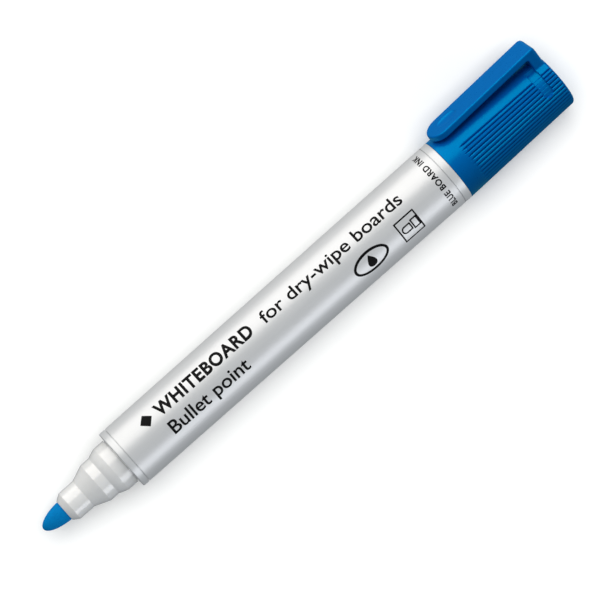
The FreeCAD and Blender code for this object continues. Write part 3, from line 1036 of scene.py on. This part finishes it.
# Rows of the outside, in millimetres from the mouth.
mouth_rows = [0.2, 0.8, 2.0, 3.0, 3.8]
flute_start_rows = np.arange(4.2, 5.7, 0.12)
plain_rows = [6.3, *np.arange(7.0, 26.3, 1.1)]
band_rows = np.arange(26.38, 29.3, 0.09)
end_rows = [29.6, 30.1, 30.6, 31.0]
outer_x = np.concatenate([mouth_rows, flute_start_rows, plain_rows, band_rows, end_rows]) * MM
cap_outline = rounded(
    [
        (BOSS_END, 0),
        (BOSS_END, BOSS_R),
        (CEILING, BOSS_R),
        (CEILING, cone_r(CEILING) - CAP_WALL, CEILING_ROUND),
        (2 * RIB_START, MOUTH_INNER_R),
        (RIB_START + RIB_STEP, MOUTH_INNER_R),
        (RIB_START, MOUTH_INNER_R),
        (0, MOUTH_INNER_R + MOUTH_CHAMFER),
        (0, cone_r(0), MOUTH_ROUND),
        *[(x, cone_r(x)) for x in outer_x],
        (CAP_LENGTH, cone_r(CAP_LENGTH), RIM_ROUND),
        (CAP_LENGTH, END_RING_R),
        (CAP_LENGTH, GATE_R, EDGE_BREAK),
        (CAP_LENGTH - GATE_DEPTH, GATE_FLOOR_R),
        (CAP_LENGTH - GATE_DEPTH, 0),
    ],
    arc_steps=9,
)
# The first row at x = 0 is the mouth's inner edge, and every row before it lies inside.
MOUTH_ROW = [x for x, r in cap_outline].index(0.0)
print(len(cap_outline), "rows, of which", MOUTH_ROW, "lie inside")

# %% [markdown]
# ### Ribs inside the cap
# Eight ribs run along the inside of the cap and grip the seat of the spigot or of the nib holder. They
# could be boxes joined on, but the grid can carry them as it carries the flutes: at a rib's columns the
# rings of the inside come in to the ribs' radius.

# %% Turn the cap
RIB_COUNT = 8
RIB_PITCH_DEG = 360 / RIB_COUNT
RIB_HALF_DEG = 4.0
RIB_TIP_R = 6.09 * MM


def cap_radius(index, x, r):
    """Ribs stand out of the inside, and flutes and the band are cut into the outside."""
    if index < MOUTH_ROW:
        near = np.abs((cap_degrees + RIB_PITCH_DEG / 2) % RIB_PITCH_DEG - RIB_PITCH_DEG / 2)
        ribbed = (near < RIB_HALF_DEG) & (r > RIB_TIP_R) & (x > RIB_START + RIB_STEP / 2)
        return np.where(ribbed, RIB_TIP_R, r)
    cut = np.maximum(flute_cut(x, cap_degrees), band_cut(x, cap_degrees))
    return np.minimum(r, cone_r(x) - cut)


vertices, faces = turned(cap_outline, cap_angles, closed=False, radius_at=cap_radius)
cap = new_piece("cap_shell_moulding", vertices, faces, cap_pp, sharp_deg=28)
cap.data.transform(CAP_PLACE)
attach(cap, "cap")
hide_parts("cap_shell")

# %% [markdown]
# ## Clip
# The clip and its root are one hook-shaped moulding. It could be a box with a subdivision surface, but
# that makes every edge as soft as the next. Here its faces are drawn flat, from its side view and from
# its half-round free end, and the edges are rounded in the next step.

# %% Draw the clip's faces
CLIP_WIDTH = 7.5 * MM
CLIP_THICKNESS = 1.7 * MM
CLIP_TIP = 0.95 * MM
CLIP_END = CAP_LENGTH - ROOT_SETBACK
TIP_GAP = 0.43 * MM
END_GAP = 2.27 * MM
TIP_TOP = cone_r(CLIP_TIP) + TIP_GAP + CLIP_THICKNESS
END_TOP = cone_r(CLIP_END) + END_GAP + CLIP_THICKNESS
ROOT_BURIED = 6.6 * MM
TIP_STEPS = 20
half_width = CLIP_WIDTH / 2


def clip_top(x):
    """Height of the arm's top, which rises evenly from the free end to the root."""
    return TIP_TOP + (END_TOP - TIP_TOP) * (x - CLIP_TIP) / (CLIP_END - CLIP_TIP)


def clip_under(x):
    """Height of the arm's underside."""
    return clip_top(x) - CLIP_THICKNESS


tip_turns = [math.pi / 2 + math.pi * i / TIP_STEPS for i in range(TIP_STEPS + 1)]
plan = [(CLIP_TIP + half_width * (1 + math.cos(a)), half_width * math.sin(a)) for a in tip_turns]
shape = bmesh.new()
upper = [shape.verts.new((x, y, clip_top(x))) for x, y in plan]
lower = [shape.verts.new((x, y, clip_under(x))) for x, y in plan]


def side_points(y):
    """The corners of the root on one side: the end's top and foot, then the wall's foot and top."""
    return [
        shape.verts.new((CLIP_END, y, clip_top(CLIP_END))),
        shape.verts.new((CLIP_END, y, ROOT_BURIED)),
        shape.verts.new((ROOT_WALL, y, ROOT_BURIED)),
        shape.verts.new((ROOT_WALL, y, clip_under(ROOT_WALL))),
    ]


left, right = side_points(half_width), side_points(-half_width)
shape.faces.new([*upper, right[0], left[0]])
shape.faces.new([*reversed(lower), left[3], right[3]])
for i in range(TIP_STEPS):
    shape.faces.new([upper[i], lower[i], lower[i + 1], upper[i + 1]])
shape.faces.new([upper[0], left[0], left[1], left[2], left[3], lower[0]])
shape.faces.new([upper[-1], lower[-1], right[3], right[2], right[1], right[0]])
for a, b in ((0, 1), (1, 2), (2, 3)):
    shape.faces.new([left[a], right[a], right[b], left[b]])
bmesh.ops.recalc_face_normals(shape, faces=shape.faces)
print("clip drawn with", len(shape.faces), "faces")

# %% [markdown]
# ### Rounded edges of the clip
# The mould gives every edge of the clip a small radius, and the edges of its end, over the root, a larger
# one. A bevel modifier does both: it is as wide as the large radius, and an edge's weight says which
# share of it that edge gets. The root's lowest edges are buried in the cap and stay sharp.

# %% Round the edges
EDGE_RADIUS = 0.42 * MM
END_RADIUS = 1.0 * MM
BEVEL_STEPS = 6
FLAT_BELOW = math.radians(30)
TOUCHING = 1e-6


def bevel_share(edge):
    """The share of END_RADIUS that an edge is rounded by."""
    first, second = edge.verts
    level = abs(first.co.z - second.co.z) < TOUCHING
    if level and first.co.z < ROOT_BURIED + TOUCHING:
        return 0.0
    if all(abs(v.co.x - CLIP_END) < TOUCHING for v in edge.verts):
        return 1.0
    return EDGE_RADIUS / END_RADIUS


weight = shape.edges.layers.float.new("bevel_weight_edge")
for edge in shape.edges:
    if edge.calc_face_angle(0) >= FLAT_BELOW:
        edge[weight] = bevel_share(edge)
draft = bpy.data.meshes.new("clip")
shape.to_mesh(draft)
shape.free()
blank = bpy.data.objects.new("clip_blank", draft)
bpy.context.scene.collection.objects.link(blank)
bevel = blank.modifiers.new("rounding", "BEVEL")
bevel.limit_method = "WEIGHT"
bevel.offset_type = "OFFSET"
bevel.width = END_RADIUS
bevel.segments = BEVEL_STEPS
bevel.use_clamp_overlap = False
bevel.miter_outer = "MITER_ARC"
bpy.context.view_layer.update()
print("edges rounded to", round(EDGE_RADIUS / MM, 2), "and", round(END_RADIUS / MM, 2), "mm")

# %% [markdown]
# ### Dimple of the clip
# Near the free end the top has a plain shallow oval dimple. Pulling vertices down would need a dense
# grid over the whole top. The top is one flat face, so a flattened sphere is taken out of it with a
# boolean, which leaves a clean rim. The sphere is tilted as the top is.

# %% Cut the dimple
DIMPLE_X = CLIP_TIP + 5.9 * MM
DIMPLE_HALF = Vector((3.0, 1.7, 0.5)) * MM
DIMPLE_DEPTH = 0.36 * MM
sphere = bmesh.new()
bmesh.ops.create_uvsphere(sphere, u_segments=48, v_segments=24, radius=1.0)
bmesh.ops.scale(sphere, vec=DIMPLE_HALF, verts=sphere.verts)
lift = clip_top(DIMPLE_X) + DIMPLE_HALF.z - DIMPLE_DEPTH
tilt = Matrix.Rotation(-math.atan((END_TOP - TIP_TOP) / (CLIP_END - CLIP_TIP)), 4, "Y")
bmesh.ops.transform(sphere, matrix=Matrix.Translation((DIMPLE_X, 0, lift)) @ tilt, verts=sphere.verts)
cutter_mesh = bpy.data.meshes.new("dimple")
sphere.to_mesh(cutter_mesh)
sphere.free()
cutter = bpy.data.objects.new("dimple_cutter", cutter_mesh)
bpy.context.scene.collection.objects.link(cutter)
cut = blank.modifiers.new("dimple", "BOOLEAN")
cut.operation = "DIFFERENCE"
cut.solver = "EXACT"
cut.object = cutter
bpy.context.view_layer.update()
finished = bpy.data.meshes.new_from_object(blank.evaluated_get(bpy.context.evaluated_depsgraph_get()))
bpy.data.objects.remove(blank)
bpy.data.objects.remove(cutter)
print("dimple", round(DIMPLE_DEPTH / MM, 2), "mm deep")

# %% [markdown]
# ### Lengths of the clip
# The CAD model has its hinge in the arm, and a long face can't bend, so the arm is cut across into short
# lengths, 0.8 mm apart, from 9 mm to 29 mm from the cap's mouth. Then the clip is placed as the cap is.

# %% Cut the clip into lengths and place it
shape = bmesh.new()
shape.from_mesh(finished)
for x in np.arange(9.0, 29.0, 0.8) * MM:
    whole = [*shape.verts, *shape.edges, *shape.faces]
    bmesh.ops.bisect_plane(shape, geom=whole, plane_co=(x, 0, 0), plane_no=(1, 0, 0))
shape.to_mesh(finished)
shape.free()
clip = piece_from("clip_moulding", finished, cap_pp, sharp_deg=30)
clip.data.transform(CAP_PLACE)
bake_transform(clip)
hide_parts("cap_clip")

# %% [markdown]
# ## Fillet at the clip's root
# Where the root meets the cap's round body the mould has a small radius. A bevel can't round it, because
# root and body are separate meshes. So it is a thin wedge along each side: at every place along the
# root, an arc that touches both the side of the root and the circle of the body, and a back that is
# buried in both.

# %% Section of the fillet
FILLET = 0.5 * MM
FILLET_STEPS = 8
STATIONS = 14
FILLET_END = CLIP_END - 0.05 * MM
BURIED_SIDE = 0.1 * MM
BURIED_FOOT = 0.2 * MM
BURIED_CORNER = 0.25 * MM


def body_r(x):
    """Radius of the cap's body, rounded over at the rim."""
    into_rim = max(0.0, x - (CAP_LENGTH - RIM_ROUND))
    return cone_r(x) - RIM_ROUND + math.sqrt(RIM_ROUND**2 - into_rim**2)


def fillet_section(x, side):
    """Points of the wedge's section at x: the arc, then a corner buried in the plastic."""
    radius = body_r(x)
    centre_y = half_width + FILLET
    centre_z = math.sqrt((radius + FILLET) ** 2 - centre_y**2)
    start = math.pi
    end = math.atan2(-centre_z, -centre_y) + 2 * math.pi
    turns = [start + (end - start) * i / FILLET_STEPS for i in range(FILLET_STEPS + 1)]
    arc = [(centre_y + FILLET * math.cos(a), centre_z + FILLET * math.sin(a)) for a in turns]
    buried = (half_width - BURIED_SIDE, arc[-1][1] - BURIED_CORNER)
    foot = (arc[-1][0], arc[-1][1] - BURIED_FOOT)
    top = (half_width - BURIED_SIDE, arc[0][1])
    return [(x, side * y, z) for y, z in (*arc, foot, buried, top)]


# %% Make the fillets
def root_fillet(name, side):
    """A fillet along one side of the root. side is 1 or -1."""
    xs = [ROOT_WALL + (FILLET_END - ROOT_WALL) * i / (STATIONS - 1) for i in range(STATIONS)]
    sections = [fillet_section(x, side) for x in xs]
    size = len(sections[0])
    points = [p for section in sections for p in section]
    quads = []
    for first in range(0, size * (STATIONS - 1), size):
        for i in range(size):
            n = (i + 1) % size
            quads.append((first + i, first + n, first + size + n, first + size + i))
    caps = [tuple(range(size)), tuple(range(len(points) - size, len(points)))]
    piece = new_piece(name, points, [*quads, *caps], cap_pp, sharp_deg=30)
    piece.data.transform(CAP_PLACE)
    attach(piece, "cap")
    return piece


fillets = [root_fillet("clip_root_fillet_left", 1), root_fillet("clip_root_fillet_right", -1)]

# %% [markdown]
# ## Pieces that stay as the CAD made them
# The ink reservoir and its wrap are a plain rod and a plain tube inside the closed barrel. They could be
# turned again like the rest, but their CAD shapes are right and have no edge that shows, so they only
# get their finishes.

# %% Finish the reservoir
for node, finish in (("reservoir_core", reservoir_fibre), ("reservoir_film", clear_wrap)):
    mesh = frame["nodes"][node].data
    mesh.materials.clear()
    mesh.materials.append(finish)
    print(node, "is", finish.name)

# %% [markdown]
# ## Floor and light
# The marker lies on a plain pale sheet of paper, under soft studio light. A curved backdrop would do as
# well, but a plane is enough when the camera looks down on it. The sheet is left out of reflections and
# of bounced light, so that it doesn't fill the marker's dark side.

# %% Lay the floor
FLOOR_REACH = 3.0
floor_mesh = bpy.data.meshes.new("floor")
corners = [(x * FLOOR_REACH, y * FLOOR_REACH, FLOOR_Z) for x, y in ((-1, -1), (1, -1), (1, 1), (-1, 1))]
floor_mesh.from_pydata(corners, [], [(0, 1, 2, 3)])
paper, shader = new_finish("pale_paper", IOR=1.45, Roughness=0.9)
vary_colour(paper, shader, grains(paper, 20 * MM), "fbfaf8", "fdfcfa")
floor_mesh.materials.append(paper)
floor = bpy.data.objects.new("floor", floor_mesh)
floor.visible_glossy = False
floor.visible_diffuse = False
bpy.context.scene.collection.objects.link(floor)
print("floor at z =", round(FLOOR_Z / MM, 2), "mm")

# %% [markdown]
# ### Softboxes
# A large warm softbox on the clip's side gives the long bright band of the barrel. A narrow cool
# reflector card, low on the other side, gives the second band. Both are longer than the marker, so the
# bands run its whole length. The sheet has a softbox of its own above it, a little towards the clip's
# side, which gives it an even light and a soft close shadow.

# %% Set up the softboxes
middle = Vector(((cad_low.x + cad_high.x) / 2, 0, 0))


def softbox(name, side_deg, rise_deg, distance, size, strength, colour, shift):
    """An area light turned to the marker's middle and then shifted. side_deg is from +X towards +Y."""
    side, rise = math.radians(side_deg), math.radians(rise_deg)
    away = Vector((math.cos(side) * math.cos(rise), math.sin(side) * math.cos(rise), math.sin(rise)))
    light = bpy.data.lights.new(name, "AREA")
    light.shape = "RECTANGLE"
    light.size, light.size_y = size
    light.energy = strength
    light.color = linear(colour)[:3]
    lamp = bpy.data.objects.new(name, light)
    lamp.location = middle + away * distance + shift
    lamp.rotation_mode = "QUATERNION"
    lamp.rotation_quaternion = away.to_track_quat("Z", "Y")
    lamp.visible_camera = False
    bpy.context.scene.collection.objects.link(lamp)
    print(name, "at", [round(v, 2) for v in lamp.location], "m")
    return lamp


TAILWARDS = Vector((0.35, 0, 0))
CLIPWARDS = Vector((0, 0.2, 0))
key = softbox(
    "key_softbox",
    side_deg=90,
    rise_deg=36,
    distance=0.8,
    size=(1.5, 1.15),
    strength=8.7,
    colour="fffaf5",
    shift=TAILWARDS,
)
card = softbox(
    "reflector_card",
    side_deg=-90,
    rise_deg=20,
    distance=0.8,
    size=(1.5, 0.44),
    strength=3.6,
    colour="f8faff",
    shift=TAILWARDS,
)
above = softbox(
    "floor_softbox",
    side_deg=0,
    rise_deg=90,
    distance=0.9,
    size=(1.0, 1.0),
    strength=8.3,
    colour="ffffff",
    shift=CLIPWARDS,
)

# %% [markdown]
# ### What each light reaches
# In a studio, black flags keep a light off a part of the set. Light linking does the same without a
# flag: the floor softbox reaches only the sheet, the key softbox leaves the sheet out, and the reflector
# card leaves out the cap, whose grained plastic would turn it into a grey sheen.

# %% Link the lights
def linked(name, objects, state):
    """A collection that a light reaches, with state INCLUDE, or leaves out, with state EXCLUDE."""
    group = bpy.data.collections.new(name)
    for member in objects:
        group.objects.link(member)
    for entry in group.collection_objects:
        entry.light_linking.link_state = state
    return group


above.light_linking.receiver_collection = linked("floor_only", [floor], "INCLUDE")
key.light_linking.receiver_collection = linked("not_floor", [floor], "EXCLUDE")
card.light_linking.receiver_collection = linked("not_cap", [cap, clip, *fillets], "EXCLUDE")
print("the card leaves out", 2 + len(fillets), "pieces")

# %% [markdown]
# ### Sky
# Between the two bands the barrel mirrors the sky of the studio, which is what makes the film read as
# metal. An even sky looks flat, so this one is a cool grey that grows a little brighter overhead,
# towards the tail and towards the clip's side. A world image would do that too, but a slope needs no
# file.

# %% Make the sky
SKY_LEVEL = 0.39
SKY_SLOPE = (0.1, 0.13, 0.1)
world = bpy.data.worlds.new("studio")
world.use_nodes = True
bpy.context.scene.world = world
background = world.node_tree.nodes["Background"]
background.inputs["Color"].default_value = linear("e7edf0")
direction = add_node(world, "ShaderNodeTexCoord")
facing = {0: direction.outputs["Generated"], 1: SKY_SLOPE}
slope = add_node(world, "ShaderNodeVectorMath", facing, operation="DOT_PRODUCT")
level = add_node(world, "ShaderNodeMath", {0: slope.outputs["Value"], 1: SKY_LEVEL}, operation="ADD")
world.node_tree.links.new(level.outputs[0], background.inputs["Strength"])
print("sky strength", SKY_LEVEL, "at its middle")

# %% [markdown]
# ## Camera
# The camera looks almost straight down from a metre away, leaning 3.7 degrees towards the nib. A short
# lens close by would make the near end of the marker look larger, so it is a long one. The camera is
# rolled so that the marker runs up to the right.

# %% Set the camera
VIEW_DISTANCE = 1.0
VIEW_LEAN = math.radians(3.7)
VIEW_ROLL = math.radians(41.56)
VIEW_WIDTH = 135.8 * MM
VIEW_AIM = Vector((54.24, 0.3, 0)) * MM
SENSOR_WIDTH = 36
back = Vector((-math.sin(VIEW_LEAN), 0, math.cos(VIEW_LEAN)))
along = Vector((math.cos(VIEW_LEAN), 0, math.sin(VIEW_LEAN)))
across = Vector((0, 1, 0))
right_way = along * math.cos(VIEW_ROLL) - across * math.sin(VIEW_ROLL)
up_way = along * math.sin(VIEW_ROLL) + across * math.cos(VIEW_ROLL)
camera_data = bpy.data.cameras.new("camera")
camera_data.sensor_width = SENSOR_WIDTH
camera_data.lens = SENSOR_WIDTH * VIEW_DISTANCE / VIEW_WIDTH
camera = bpy.data.objects.new("camera", camera_data)
turn = Matrix((right_way, up_way, back)).transposed().to_4x4()
camera.matrix_world = Matrix.Translation(VIEW_AIM + back * VIEW_DISTANCE) @ turn
bpy.context.scene.collection.objects.link(camera)
bpy.context.scene.camera = camera
bpy.context.scene.view_settings.view_transform = "Standard"
print("lens", round(camera_data.lens, 1), "mm")
